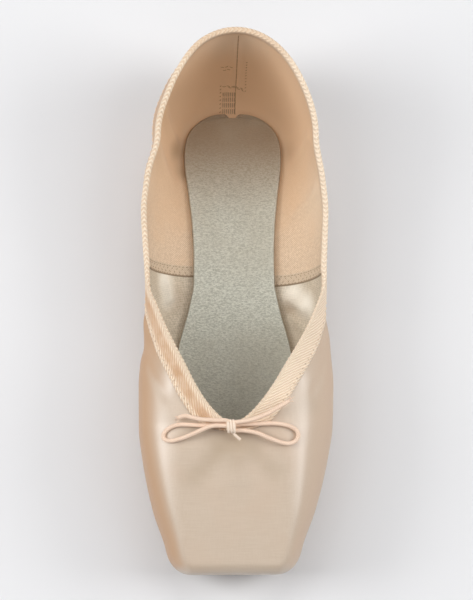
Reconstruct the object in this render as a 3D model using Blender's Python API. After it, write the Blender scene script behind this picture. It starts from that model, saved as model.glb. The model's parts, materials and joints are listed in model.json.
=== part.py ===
"""A satin pointe shoe on a straight last, empty and standing on its sole, its drawstring tied in a bow.

Metres. The toe points to -Y, the heel to +Y and the floor is z = 0. The origin is on the floor under the middle of
the shoe. The upper is a grid: cross-sections from the toe to the heel's axis, then sections fanned round the heel.
"""

import math
from collections import namedtuple

import bmesh
import bpy
import numpy as np
from mathutils import Vector
from mathutils.bvhtree import BVHTree

# Driving sizes of the whole shoe
LENGTH = 0.2320
BALL_WIDTH = 0.0836
THROAT_HEIGHT = 0.0469
SIDE_HEIGHT = 0.0364
HEEL_HEIGHT = 0.0561
TOE_SPRING = 0.0036
ARCH_RISE = 0.0045

# Places along the shoe, from the toe
SOLE_FRONT = 0.0250
INSOLE_FRONT = 0.0240
OPENING_FRONT = 0.0340
THROAT = 0.0611
HEEL_AXIS = 0.1860

# The platform that the dancer stands on
RIM_RADIUS = 0.0040
PLATFORM_LEAN = math.tan(math.radians(4.0))
LEAN_REACH = 0.0240

# Walls, plates and the tape round the collar
BOX_WALL = 0.0024
QUARTER_WALL = 0.0012
OUTSOLE_THICKNESS = 0.0026
INSOLE_THICKNESS = 0.0016
TAPE_THICKNESS = 0.0005
TAPE_LEG = 0.0080
TAPE_GAP = 0.0005
FOLD_TAPER = 0.35
FOLD_RISE = 0.6
INNER_REACH = 2.0
GAP = 0.0003

# The seat that the foot stands in
SEAT_BACK = 0.0202
MARGIN = 0.0090
INSOLE_INSET = 0.0005
CAP_DEPTH = 0.0160
CAP_FULLNESS = 2.3
OPENING_SLOPE = 1.5
CORE_CLEARANCE = 0.0006
EDGE_ROUND = 0.0005
HEEL_SQUARENESS = 3.6
SEAT_SQUARENESS = 2.8

# The vamp's top has slipped a little to the left under the bow
DRIFT = -0.0020
DRIFT_REACH = 0.0550
DRIFT_FOOT = 0.5
DRIFT_CLIMB = 0.4

# The box swings a little to the left towards the platform
SWING = -0.0015
SWING_REACH = 0.0900

# How the soft left quarter's bulge starts above the sole and its collar's lean above the bulge
BULGE_FOOT = 0.15
BULGE_CLIMB = 0.45
COLLAR_FOOT = 0.60
COLLAR_CLIMB = 0.50
LEFT_EASE = 0.0200

# The drawstring's bow
MILLIMETRE = 0.001
CORD_DIAMETER = 0.0018
CORD_SPACING = 2.2
CORD_ROUNDNESS = 2
KNOT_LENGTH = 0.0032
KNOT_WIDTH = 0.0058
KNOT_DEPTH = 0.0044
KNOT_WRAPS = 2
KNOT_GROOVE = 0.18
KNOT_PLACE = (-0.0011, -0.0017, 0.0026)

# How finely the curved pieces are divided
RIM_STATIONS = (0.0, 0.12, 0.42, 1.0)
BOX_STATIONS = 5
VAMP_STATIONS = 4
THROAT_STEPS = (0.0, 0.0008, 0.0022, 0.0045, 0.0085)
QUARTER_STATIONS = 19
HEEL_STATIONS = 9
BED_COLUMNS = 3
WALL_COLUMNS = 14
CAP_STATIONS = 6
TAPE_STEPS = 3
ARC_STEPS = 48
WRAP_STEPS = 6
KNOT_SIDES = 16
SHARP_ANGLE = math.radians(40.0)

Section = namedtuple("Section", "along width tread sole widest crown flat fullness box")

# Cross-sections. along: share of LENGTH. width, tread and flat: half widths as shares of half BALL_WIDTH, at the
# widest line, at the flat underside and at the flat top. sole: the outsole's share of the tread. widest: height of
# the widest line as a share of SIDE_HEIGHT. crown: share of THROAT_HEIGHT. fullness: how square the side's lower
# half is. box: 1 where the stiffened box is, 0 in the soft quarters.
SECTIONS = [
    Section(0.000, 0.552, 0.335, 0.88, 0.50, 0.765, 0.41, 2.3, 1.0),
    Section(0.017, 0.620, 0.365, 0.88, 0.50, 0.790, 0.43, 2.3, 1.0),
    Section(0.031, 0.664, 0.385, 0.88, 0.50, 0.805, 0.45, 2.3, 1.0),
    Section(0.061, 0.712, 0.430, 0.88, 0.51, 0.838, 0.48, 2.3, 1.0),
    Section(0.119, 0.825, 0.515, 0.88, 0.52, 0.893, 0.51, 2.3, 1.0),
    Section(0.177, 0.906, 0.588, 0.89, 0.54, 0.942, 0.50, 2.3, 1.0),
    Section(0.238, 0.969, 0.645, 0.90, 0.56, 0.986, 0.45, 2.3, 1.0),
    Section(0.268, 0.990, 0.660, 0.905, 0.57, 1.000, 0.42, 2.3, 0.9),
    Section(0.354, 1.000, 0.660, 0.91, 0.60, 0.990, 0.31, 2.2, 0.6),
    Section(0.389, 0.986, 0.635, 0.90, 0.63, 0.976, 0.24, 2.1, 0.3),
    Section(0.441, 0.942, 0.582, 0.86, 0.70, 0.975, 0.16, 2.0, 0.0),
    Section(0.497, 0.919, 0.494, 0.78, 0.865, 0.990, 0.08, 1.9, 0.0),
    Section(0.525, 0.915, 0.458, 0.74, 0.955, 1.000, 0.03, 1.85, 0.0),
    Section(0.553, 0.914, 0.430, 0.71, 1.00, 1.000, 0.00, 1.8, 0.0),
    Section(0.609, 0.926, 0.427, 0.70, 1.00, 1.000, 0.00, 1.8, 0.0),
    Section(0.666, 0.938, 0.440, 0.74, 1.00, 1.000, 0.00, 1.8, 0.0),
    Section(0.726, 0.905, 0.473, 0.83, 1.00, 1.000, 0.00, 1.9, 0.0),
    Section(0.804, 0.835, 0.520, 0.895, 1.00, 1.000, 0.00, 2.0, 0.0),
    Section(1.000, 0.835, 0.520, 0.895, 1.00, 1.000, 0.00, 2.0, 0.0),
]

# The collar's climb from the lowest point of the side to the back. along: share of LENGTH. climb: share of the way
# from SIDE_HEIGHT to HEEL_HEIGHT.
COLLAR = [
    (0.000, 0.00),
    (0.600, 0.00),
    (0.666, 0.09),
    (0.726, 0.27),
    (0.804, 0.53),
    (0.865, 0.73),
    (0.925, 0.87),
    (1.000, 1.00),
]

# The opening's edge behind the throat. behind: share of the way from THROAT to HEEL_AXIS. open: half width as a
# share of half BALL_WIDTH, which passes the wall's own width where the opening is as wide as the shoe.
OPENING = [
    (0.000, 0.000),
    (0.007, 0.069),
    (0.019, 0.129),
    (0.051, 0.229),
    (0.122, 0.384),
    (0.215, 0.535),
    (0.259, 0.606),
    (0.331, 0.714),
    (0.408, 0.811),
    (0.484, 0.893),
    (0.540, 0.925),
    (0.700, 1.200),
    (1.000, 1.200),
]

# The soft left quarter, which bulges while its collar leans inwards over the heel. along: share of LENGTH. bulge and
# collar: how far the wall's middle and the collar have gone to the right, as shares of half BALL_WIDTH.
LEFT_QUARTER = [
    (0.496, 0.000, 0.000),
    (0.582, -0.021, -0.021),
    (0.647, -0.026, -0.026),
    (0.711, -0.031, -0.029),
    (0.746, -0.038, -0.022),
    (0.793, -0.022, 0.026),
    (0.836, -0.050, 0.046),
    (0.862, -0.064, 0.040),
    (0.897, -0.064, 0.030),
    (0.940, -0.034, 0.012),
    (0.974, 0.000, 0.000),
]

# The underside's line. along: share of LENGTH. spring: share of TOE_SPRING. arch: share of ARCH_RISE.
BED = [
    (0.000, 1.00, 0.00),
    (0.052, 0.55, 0.00),
    (0.108, 0.22, 0.00),
    (0.194, 0.00, 0.00),
    (0.324, 0.00, 0.00),
    (0.411, 0.00, 0.18),
    (0.510, 0.00, 0.72),
    (0.605, 0.00, 1.00),
    (0.700, 0.00, 0.62),
    (0.761, 0.00, 0.16),
    (0.795, 0.00, 0.00),
    (1.000, 0.00, 0.00),
]

# The bow's strands, chosen by hand in millimetres from the throat: to the right, back and up
LEFT_LOOP = [
    (-3.1, -0.5, 1.7),
    (-9.6, -1.2, 1.5),
    (-13.8, -1.1, 1.2),
    (-18.0, -0.8, 0.8),
    (-22.3, -0.6, 0.0),
    (-25.6, -1.3, -1.0),
    (-28.2, -3.0, -2.2),
    (-29.2, -5.0, -2.6),
    (-28.2, -6.7, -2.2),
    (-25.4, -7.2, -1.2),
    (-21.2, -6.2, 0.0),
    (-17.0, -4.7, 1.2),
    (-12.6, -2.9, 2.6),
    (-8.6, -1.7, 3.7),
    (-3.1, -1.7, 3.6),
]
RIGHT_LOOP = [
    (0.9, -0.9, 1.7),
    (4.0, -0.7, 1.6),
    (10.9, -0.5, 1.3),
    (17.3, -0.3, 0.8),
    (22.9, -1.1, 0.0),
    (26.3, -2.9, -0.6),
    (27.1, -5.5, -0.8),
    (25.2, -8.0, -0.5),
    (21.2, -8.5, 0.0),
    (14.8, -6.4, 0.8),
    (10.0, -4.4, 1.3),
    (4.5, -3.4, 1.7),
    (0.9, -3.4, 1.8),
]
LEFT_END = [
    (-3.1, 0.5, 4.0),
    (-6.4, 0.5, 4.2),
    (-10.7, 0.8, 4.0),
    (-13.8, 1.1, 3.6),
    (-17.0, 1.9, 3.0),
    (-20.2, 2.7, 2.4),
    (-22.9, 2.1, 1.6),
]
RIGHT_END = [
    (0.9, -0.2, 4.0),
    (4.4, 0.2, 4.2),
    (7.6, 0.9, 4.0),
    (13.2, 3.0, 3.6),
    (18.8, 6.2, 3.4),
    (23.2, 8.8, 3.0),
]

Station = namedtuple("Station", "along turn")
Form = namedtuple("Form", "inner tread width base widest crown flat edge fullness")


def curve(places, values):
    """A smooth curve through a table's rows, which never overshoots them."""
    x, y = np.asarray(places, float), np.asarray(values, float)
    step = np.diff(x)
    slope = np.diff(y) / step
    together = slope[:-1] * slope[1:] > 0
    total = np.where(together, slope[:-1] + slope[1:], 1.0)
    bend = np.concatenate([slope[:1], np.where(together, 2 * slope[:-1] * slope[1:] / total, 0.0), slope[-1:]])

    def at(place):
        place = np.clip(place, x[0], x[-1])
        i = np.clip(np.searchsorted(x, place) - 1, 0, len(step) - 1)
        u = (place - x[i]) / step[i]
        start = (1 + 2 * u) * (1 - u) ** 2 * y[i] + u * (1 - u) ** 2 * step[i] * bend[i]
        end = u * u * (3 - 2 * u) * y[i + 1] - u * u * (1 - u) * step[i] * bend[i + 1]
        return start + end

    return at


def column(name):
    """One column of the sections, along the shoe."""
    return curve([row.along * LENGTH for row in SECTIONS], [getattr(row, name) for row in SECTIONS])


COLUMNS = {name: column(name) for name in Section._fields[1:]}
CLIMB = curve([row[0] * LENGTH for row in COLLAR], [row[1] for row in COLLAR])
OPEN = curve([THROAT + row[0] * (HEEL_AXIS - THROAT) for row in OPENING], [row[1] for row in OPENING])
BULGE = curve([row[0] * LENGTH for row in LEFT_QUARTER], [row[1] for row in LEFT_QUARTER])
COLLAR_SHIFT = curve([row[0] * LENGTH for row in LEFT_QUARTER], [row[2] for row in LEFT_QUARTER])
SPRING = curve([row[0] * LENGTH for row in BED], [row[1] for row in BED])
ARCH = curve([row[0] * LENGTH for row in BED], [row[2] for row in BED])


def half_width(name, along):
    return COLUMNS[name](along) * BALL_WIDTH / 2


def ground(along):
    """Height of the outsole's underside."""
    return TOE_SPRING * SPRING(along) + ARCH_RISE * ARCH(along)


def underside(along):
    """Height of the upper's underside, on the outsole."""
    return ground(along) + OUTSOLE_THICKNESS + GAP


def wall(along):
    return QUARTER_WALL + (BOX_WALL - QUARTER_WALL) * COLUMNS["box"](along)


def smooth_step(value):
    value = min(max(value, 0.0), 1.0)
    return value * value * (3 - 2 * value)


def hump(along, middle, reach):
    """A soft hump along the shoe, 1 at its middle and 0 at its ends."""
    return math.cos(math.pi / 2 * min(abs(along - middle) / reach, 1.0)) ** 2


def tread(station):
    """Half width of the flat underside, which ends behind the heel's axis in a squared round."""
    across = math.cos(station.turn) / half_width("tread", station.along)
    behind = math.sin(station.turn) / SEAT_BACK
    return (across**SEAT_SQUARENESS + behind**SEAT_SQUARENESS) ** (-1 / SEAT_SQUARENESS)


def outsole_edge(station):
    return tread(station) * COLUMNS["sole"](station.along)


def sole_opening(station):
    """Half width of the hole in the upper that the outsole closes."""
    return min(max((station.along - OPENING_FRONT) * OPENING_SLOPE, 0.0), tread(station) - MARGIN)


def form(station, inset):
    """The sizes of the upper's section at a station."""
    along = station.along
    side = half_width("width", along)
    back = LENGTH - TAPE_THICKNESS - TAPE_GAP - HEEL_AXIS
    width = side + (back - side) * math.sin(station.turn) ** HEEL_SQUARENESS
    reach = along + width * math.sin(station.turn)
    widest = SIDE_HEIGHT * COLUMNS["widest"](along) + (HEEL_HEIGHT - SIDE_HEIGHT) * CLIMB(reach)
    return Form(
        inner=sole_opening(station),
        tread=tread(station),
        width=width - inset,
        base=underside(along) + inset,
        widest=widest,
        crown=THROAT_HEIGHT * COLUMNS["crown"](along) - inset,
        flat=half_width("flat", along),
        edge=OPEN(along) * BALL_WIDTH / 2 if along > THROAT else 0.0,
        fullness=COLUMNS["fullness"](along),
    )


def quarter(angle, fullness):
    """A quarter of a superellipse, as shares across and up."""
    return math.sin(angle) ** (2 / fullness), math.cos(angle) ** (2 / fullness)


def side_arc(shape):
    """The side from the feather edge to the widest line and over to the topline, as (outward, up) points."""
    points = []
    for angle in np.linspace(0, math.pi / 2, ARC_STEPS):
        across, up = quarter(angle, shape.fullness)
        outward = shape.tread + (shape.width - shape.tread) * across
        points.append((outward, shape.widest - (shape.widest - shape.base) * max(up, 0.0)))
    if shape.edge >= shape.width:
        return points
    cut = max(shape.edge - shape.flat, 0.0) / (shape.width - shape.flat)
    last = math.acos(cut ** (shape.fullness / 2))
    for angle in np.linspace(0, last, ARC_STEPS)[1:]:
        up, across = quarter(angle, shape.fullness)
        outward = shape.flat + (shape.width - shape.flat) * across
        points.append((outward, shape.widest + (shape.crown - shape.widest) * up))
    if shape.edge < shape.flat:
        points.append((shape.edge, shape.crown))
    return points


def spread(points, count):
    """The same line with evenly spaced points."""
    points = np.asarray(points)
    lengths = np.concatenate([[0.0], np.cumsum(np.linalg.norm(np.diff(points, axis=0), axis=1))])
    even = np.linspace(0, lengths[-1], count + 1)
    return np.stack([np.interp(even, lengths, points[:, k]) for k in range(points.shape[1])], axis=1)


def profile(station, inset):
    """One side of the upper's section, from under the foot to the topline."""
    shape = form(station, inset)
    bed = [(outward, shape.base) for outward in np.linspace(shape.inner, shape.tread, BED_COLUMNS + 1)]
    return bed[:-1] + [tuple(point) for point in spread(side_arc(shape), WALL_COLUMNS)]


def place(station, outward, up, side):
    """A section's point in the shoe, on its right (side 1) or left (side -1)."""
    along = station.along + outward * math.sin(station.turn)
    x = side * outward * math.cos(station.turn)
    drift = DRIFT * hump(along, THROAT, DRIFT_REACH) * smooth_step((up / THROAT_HEIGHT - DRIFT_FOOT) / DRIFT_CLIMB)
    swing = SWING * smooth_step(1 - along / SWING_REACH)
    return Vector((x + drift + swing + quarter_shift(x, along, up), along - LENGTH / 2, up))


def quarter_shift(x, along, up):
    """How far to the right the soft left quarter has gone."""
    high = up / HEEL_HEIGHT
    bulge = BULGE(along) * smooth_step((high - BULGE_FOOT) / BULGE_CLIMB)
    collar = (COLLAR_SHIFT(along) - BULGE(along)) * smooth_step((high - COLLAR_FOOT) / COLLAR_CLIMB)
    return (bulge + collar) * BALL_WIDTH / 2 * smooth_step(-x / LEFT_EASE)


def shoe_stations():
    """Stations from the platform to the heel's axis, then round the heel."""
    rim = [share * RIM_RADIUS for share in RIM_STATIONS]
    box = list(np.linspace(RIM_RADIUS, OPENING_FRONT, BOX_STATIONS + 1)[1:])
    vamp = list(np.linspace(OPENING_FRONT, THROAT, VAMP_STATIONS + 1)[1:-1])
    throat = [THROAT + step for step in THROAT_STEPS]
    quarters = list(np.linspace(throat[-1], HEEL_AXIS, QUARTER_STATIONS + 1)[1:])
    round_the_heel = [math.pi / 2 * k / HEEL_STATIONS for k in range(1, HEEL_STATIONS + 1)]
    sides = [Station(along, 0.0) for along in rim + box + vamp + throat + quarters]
    return sides + [Station(HEEL_AXIS, turn) for turn in round_the_heel]


def rim_inset(station):
    """How far the platform's rounded rim draws the section in."""
    short = max(RIM_RADIUS - station.along, 0.0)
    return RIM_RADIUS - math.sqrt(RIM_RADIUS**2 - short**2)


class Skin:
    """A mesh whose points are shared wherever they coincide."""

    def __init__(self):
        self.mesh = bmesh.new()
        self.points = {}

    def point(self, position):
        key = tuple(round(value, 7) + 0.0 for value in position)
        if key not in self.points:
            self.points[key] = self.mesh.verts.new(position)
        return self.points[key]

    def face(self, corners):
        distinct = list(dict.fromkeys(corners))
        if len(distinct) > 2:
            self.mesh.faces.new(distinct)

    def quad(self, a, b, c, d, side):
        self.face([a, b, c, d] if side > 0 else [a, d, c, b])


def finish(name, mesh, material):
    """Turns a bmesh into the named object."""
    data = bpy.data.meshes.new(name)
    mesh.to_mesh(data)
    mesh.free()
    data.materials.append(material)
    shaped = bpy.data.objects.new(name, data)
    bpy.context.scene.collection.objects.link(shaped)
    data.shade_smooth()
    data.set_sharp_from_angle(angle=SHARP_ANGLE)
    return shaped


def plain_material(name, colour, roughness, metallic=0.0):
    material = bpy.data.materials.new(name)
    material.use_nodes = True
    shader = material.node_tree.nodes["Principled BSDF"]
    shader.inputs["Base Color"].default_value = (*colour, 1.0)
    shader.inputs["Roughness"].default_value = roughness
    shader.inputs["Metallic"].default_value = metallic
    material.diffuse_color = (*colour, 1.0)
    return material


def satin():
    return plain_material("satin", (0.80, 0.62, 0.50), 0.42)


def cotton_tape():
    return plain_material("cotton_tape", (0.84, 0.70, 0.58), 0.85)


def sole_leather():
    return plain_material("sole_leather", (0.62, 0.50, 0.38), 0.6)


def suede():
    return plain_material("suede", (0.45, 0.43, 0.34), 0.9)


def elastic_cord():
    return plain_material("elastic_cord", (0.84, 0.68, 0.56), 0.8)


def upper_skin():
    """The outside of the upper, with its rows of points on both sides."""
    skin = Skin()
    rows = {1: [], -1: []}
    for station in STATIONS:
        line = profile(station, rim_inset(station))
        for side in rows:
            rows[side].append([skin.point(platform_lean(place(station, r, z, side))) for r, z in line])
    for side, lines in rows.items():
        for low, high in zip(lines, lines[1:]):
            for k in range(len(low) - 1):
                skin.quad(low[k], high[k], high[k + 1], low[k + 1], side)
    skin.face(rows[1][0] + rows[-1][0][::-1])
    skin.mesh.normal_update()
    return skin, rows


def platform_lean(position):
    """The platform's face leans, so that its top edge is the foremost."""
    near = max(1 - (position.y + LENGTH / 2) / LEAN_REACH, 0.0)
    below = THROAT_HEIGHT * COLUMNS["crown"](0.0) - RIM_RADIUS - position.z
    return position + Vector((0, PLATFORM_LEAN * near * max(below, 0.0), 0))


def make_upper(skin):
    """The hollow satin upper, open at the collar and over the outsole."""
    upper = finish("upper", skin.mesh.copy(), satin())
    walls = upper.vertex_groups.new(name="wall")
    for vertex in upper.data.vertices:
        thickness = wall(vertex.co.y + LENGTH / 2)
        walls.add([vertex.index], float(thickness / BOX_WALL), "REPLACE")
    shell = upper.modifiers.new("wall", "SOLIDIFY")
    shell.thickness = BOX_WALL
    shell.offset = -1
    shell.vertex_group = "wall"
    return upper


def cap(along, front):
    """Share of the width in a plate's rounded front end."""
    ahead = max(1 - (along - front) / CAP_DEPTH, 0.0)
    return (1 - ahead**CAP_FULLNESS) ** (1 / CAP_FULLNESS) if ahead < 1 else 0.0


def plate_stations(front):
    """Stations of a flat piece that starts some way behind the toe."""
    angles = [math.pi / 2 * k / CAP_STATIONS for k in range(CAP_STATIONS)]
    tip = [Station(front + CAP_DEPTH * (1 - math.cos(angle)), 0.0) for angle in angles]
    return tip + [station for station in STATIONS if station.along >= front + CAP_DEPTH]


def outline(stations, edge, height, inset=0.0, front=0.0):
    """The right half of a plate's outline at one level, as (station, outward, up)."""
    points = []
    for station in stations:
        outward = max(edge(station) - inset, 0.0)
        kept = Station(max(station.along, front + inset), station.turn)
        points.append((kept, outward, height(kept.along)))
    return points


def make_plate(name, levels, material):
    """A thin piece built from outlines stacked from below, closed with strips across it."""
    skin = Skin()
    loops = []
    for level in levels:
        loops.append({side: [skin.point(place(s, r, z, side)) for s, r, z in level] for side in (1, -1)})
    for low, high in zip(loops, loops[1:]):
        for side in (1, -1):
            for k in range(len(low[side]) - 1):
                skin.quad(low[side][k], low[side][k + 1], high[side][k + 1], high[side][k], side)
    for loop, side in ((loops[0], -1), (loops[-1], 1)):
        right, left = loop[1], loop[-1]
        for k in range(len(right) - 1):
            skin.quad(right[k], right[k + 1], left[k + 1], left[k], side)
    return finish(name, skin.mesh, material)


def make_outsole():
    """The leather outsole, short of the toe and with the shoe's waist."""
    stations = plate_stations(SOLE_FRONT)

    def edge(station):
        return outsole_edge(station) * cap(station.along, SOLE_FRONT)

    levels = [
        outline(stations, edge, ground, EDGE_ROUND, SOLE_FRONT),
        outline(stations, edge, lambda along: ground(along) + EDGE_ROUND, 0.0, SOLE_FRONT),
        outline(stations, edge, lambda along: ground(along) + OUTSOLE_THICKNESS, 0.0, SOLE_FRONT),
    ]
    return make_plate("outsole", levels, sole_leather())


def make_insole():
    """The insole, whose thicker core sits down in the upper's opening."""
    stations = plate_stations(INSOLE_FRONT)

    def edge(station):
        return (tread(station) - INSOLE_INSET) * cap(station.along, INSOLE_FRONT)

    def seat(along):
        return underside(along) + wall(along) + GAP

    def top(along):
        return seat(along) + INSOLE_THICKNESS

    levels = [
        outline(stations, sole_opening, underside, CORE_CLEARANCE, OPENING_FRONT),
        outline(stations, sole_opening, seat, CORE_CLEARANCE, OPENING_FRONT),
        outline(stations, edge, seat, 0.0, INSOLE_FRONT),
        outline(stations, edge, lambda along: top(along) - EDGE_ROUND, 0.0, INSOLE_FRONT),
        outline(stations, edge, top, EDGE_ROUND, INSOLE_FRONT),
    ]
    return make_plate("insole", levels, suede())


def topline(rows):
    """The upper's edge round the opening, from the throat along the right side and back along the left."""
    first = next(k for k, station in enumerate(STATIONS) if station.along >= THROAT)
    right = [line[-1] for line in rows[1][first:]]
    left = [line[-1] for line in rows[-1][first:]]
    return right + left[-2:0:-1]


def tape_section(edge, before, after, shell):
    """The folded tape's section at one point of the topline, as a closed ring of points."""
    heading = (after.co - before.co).normalized()
    down = heading.cross(edge.normal).normalized()
    up = -down
    thickness = wall(edge.co.y + LENGTH / 2)
    outside = [(edge.co.copy(), edge.normal.copy())]
    inside = [(edge.co - edge.normal * thickness, -edge.normal)]
    for _ in range(TAPE_STEPS):
        target = outside[-1][0] + down * (TAPE_LEG / TAPE_STEPS)
        nearest, normal, _, _ = shell.find_nearest(target)
        outside.append((nearest, normal))
        inside.append(shell.find_nearest(nearest - normal * INNER_REACH * thickness)[:2])
        down = (down - normal * down.dot(normal)).normalized()
    outer = [at + normal * TAPE_GAP for at, normal in outside]
    inner = [at + normal * TAPE_GAP for at, normal in inside]
    outer_face = [at + normal * (TAPE_GAP + TAPE_THICKNESS) for at, normal in outside]
    inner_face = [at + normal * (TAPE_GAP + TAPE_THICKNESS) for at, normal in inside]
    fold = [outer[0] + up * TAPE_GAP, inner[0] + up * TAPE_GAP]
    middle = edge.co - edge.normal * (thickness / 2)
    shoulder = up * (TAPE_GAP + FOLD_RISE * TAPE_THICKNESS)
    crest = [
        outer_face[0].lerp(outer[0], FOLD_TAPER) + shoulder,
        middle + up * (TAPE_GAP + TAPE_THICKNESS),
        inner_face[0].lerp(inner[0], FOLD_TAPER) + shoulder,
    ]
    return outer_face[::-1] + crest + inner_face + inner[::-1] + fold[::-1] + outer


def make_binding(upper, rows):
    """The cotton tape folded over the topline, which carries the drawstring."""
    shell = BVHTree.FromObject(upper, bpy.context.evaluated_depsgraph_get())
    edge = topline(rows)
    rings = []
    tape = Skin()
    for k, point in enumerate(edge):
        section = tape_section(point, edge[k - 1], edge[(k + 1) % len(edge)], shell)
        rings.append([tape.point(position) for position in section])
    for i, (near, far) in enumerate(zip(rings, rings[1:] + rings[:1])):
        on_right = 2 * i < len(rings)
        for k in range(len(near)):
            if on_right:
                tape.quad(near[k], far[k], far[k - 1], near[k - 1], -1)
            else:
                tape.quad(near[k - 1], near[k], far[k], far[k - 1], -1)
    return finish("binding", tape.mesh, cotton_tape())


def throat_point():
    """Where the tape's two sides meet, on the outside of the tape."""
    tip = Station(THROAT, 0.0)
    return place(tip, 0.0, THROAT_HEIGHT + TAPE_GAP + TAPE_THICKNESS, 1)


def make_cord(name, route):
    """A length of the drawstring along a smooth curve through its route."""
    points = np.asarray(route) * MILLIMETRE + np.asarray(throat_point())
    steps = np.linalg.norm(np.diff(points, axis=0), axis=1)
    lengths = np.concatenate([[0.0], np.cumsum(steps)])
    count = round(lengths[-1] / (CORD_SPACING * CORD_DIAMETER))
    even = np.linspace(0, lengths[-1], count + 1)
    axes = [curve(lengths, points[:, k]) for k in range(3)]
    data = bpy.data.curves.new(name, "CURVE")
    data.dimensions = "3D"
    line = data.splines.new("POLY")
    line.points.add(count)
    for point, distance in zip(line.points, even):
        point.co = (*[float(axis(distance)) for axis in axes], 1.0)
    data.bevel_depth = CORD_DIAMETER / 2
    data.bevel_resolution = CORD_ROUNDNESS
    data.use_fill_caps = True
    data.materials.append(elastic_cord())
    cord = bpy.data.objects.new(name, data)
    bpy.context.scene.collection.objects.link(cord)
    return cord


def make_knot():
    """The knot, a short barrel with the cord's wraps round it, just clear of the tape."""
    skin = Skin()
    rings = []
    steps = WRAP_STEPS * KNOT_WRAPS
    for i in range(steps + 1):
        share = i / steps
        ridge = 1 - KNOT_GROOVE * (1 - abs(math.sin(math.pi * KNOT_WRAPS * share)))
        ring = []
        for k in range(KNOT_SIDES):
            angle = 2 * math.pi * k / KNOT_SIDES
            x = KNOT_LENGTH * (share - 0.5)
            y = ridge * KNOT_WIDTH / 2 * math.cos(angle)
            z = ridge * KNOT_DEPTH / 2 * math.sin(angle)
            ring.append(skin.point((x, y, z)))
        rings.append(ring)
    for near, far in zip(rings, rings[1:]):
        for k in range(KNOT_SIDES):
            skin.quad(near[k - 1], near[k], far[k], far[k - 1], 1)
    skin.face(rings[0][::-1])
    skin.face(rings[-1])
    knot = finish("bow_knot", skin.mesh, elastic_cord())
    knot.location = throat_point() + Vector(KNOT_PLACE)
    return knot


def main():
    for old in list(bpy.data.objects):
        bpy.data.objects.remove(old)
    skin, rows = upper_skin()
    make_binding(make_upper(skin), rows)
    make_outsole()
    make_insole()
    make_knot()
    make_cord("bow_loop_left", LEFT_LOOP)
    make_cord("bow_loop_right", RIGHT_LOOP)
    make_cord("bow_end_left", LEFT_END)
    make_cord("bow_end_right", RIGHT_END)


STATIONS = shoe_stations()
main()
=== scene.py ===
import json
import math
from collections import namedtuple

import bmesh
import bpy
import numpy as np
from mathutils import Matrix, Vector
from mathutils.bvhtree import BVHTree

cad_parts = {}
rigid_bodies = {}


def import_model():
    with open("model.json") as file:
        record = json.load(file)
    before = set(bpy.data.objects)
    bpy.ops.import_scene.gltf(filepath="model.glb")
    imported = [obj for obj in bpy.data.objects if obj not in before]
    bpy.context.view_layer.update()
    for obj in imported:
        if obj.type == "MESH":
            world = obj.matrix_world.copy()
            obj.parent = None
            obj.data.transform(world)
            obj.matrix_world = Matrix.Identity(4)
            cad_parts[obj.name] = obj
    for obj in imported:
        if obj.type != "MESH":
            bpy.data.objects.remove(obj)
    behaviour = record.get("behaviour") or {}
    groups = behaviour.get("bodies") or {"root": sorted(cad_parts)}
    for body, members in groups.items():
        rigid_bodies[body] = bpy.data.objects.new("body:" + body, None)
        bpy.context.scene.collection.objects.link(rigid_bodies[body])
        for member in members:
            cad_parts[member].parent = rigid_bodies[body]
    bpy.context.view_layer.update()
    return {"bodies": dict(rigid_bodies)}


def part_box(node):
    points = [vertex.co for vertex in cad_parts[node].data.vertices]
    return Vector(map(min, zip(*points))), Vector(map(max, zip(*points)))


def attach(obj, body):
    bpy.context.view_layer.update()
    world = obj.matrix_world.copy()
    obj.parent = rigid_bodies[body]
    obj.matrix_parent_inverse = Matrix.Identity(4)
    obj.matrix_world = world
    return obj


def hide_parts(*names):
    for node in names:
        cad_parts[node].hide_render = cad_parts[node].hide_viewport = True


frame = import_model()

# A satin pointe shoe, empty, standing on its sole. Metres. The toe points to -Y, the heel to +Y, the floor is z = 0.
BODY = next(iter(frame["bodies"]))
MM = 0.001

# The view. The shoe is seen from above and a little from the toe, with the eye a hand's breadth to its left. It
# stands on a plain pale floor under an even sky, between soft boxes on all sides, two of them low beside its walls.
ELEVATION = math.radians(78.0)
DISTANCE = 1.0
EYE_LEFT = 0.0409
AIM = Vector((0.00035, 0.0024, 0.025))
FOCAL_LENGTH = 139.2
FLOOR_COLOUR = (0.80, 0.80, 0.81)
SKY_COLOUR, SKY_STRENGTH = (0.96, 0.97, 1.0), 0.22
LAMPS = [
    ("left_box", (-0.95, 0.0, 1.05), (0, 0, 0.02), (0.5, 1.2), 7.2),
    ("right_box", (0.95, 0.0, 1.05), (0, 0, 0.02), (0.5, 1.2), 6.2),
    ("toe_box", (0.10, -0.9, 1.25), (0, 0, 0.02), (0.7, 0.7), 1.0),
    ("heel_box", (0.0, 0.8, 1.4), (0, 0, 0.02), (0.7, 0.7), 3.8),
    ("left_low_box", (-1.1, 0.05, 0.72), (0, 0.05, 0.03), (0.7, 0.5), 5.6),
    ("right_low_box", (1.1, 0.05, 0.70), (0, 0.05, 0.03), (0.7, 0.5), 4.6),
]


def make_camera():
    forward = Vector((0.0, math.cos(ELEVATION), -math.sin(ELEVATION)))
    eye = AIM - Vector((EYE_LEFT, 0, 0)) - DISTANCE * forward
    back = (eye - AIM).normalized()
    right = Vector((0.0, math.sin(ELEVATION), math.cos(ELEVATION))).cross(back).normalized()
    turn = Matrix((right, back.cross(right), back)).transposed()
    data = bpy.data.cameras.new("view")
    data.lens = FOCAL_LENGTH
    data.clip_start = 0.05
    camera = bpy.data.objects.new("view", data)
    camera.matrix_world = Matrix.Translation(eye) @ turn.to_4x4()
    bpy.context.scene.collection.objects.link(camera)
    bpy.context.scene.camera = camera


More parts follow.
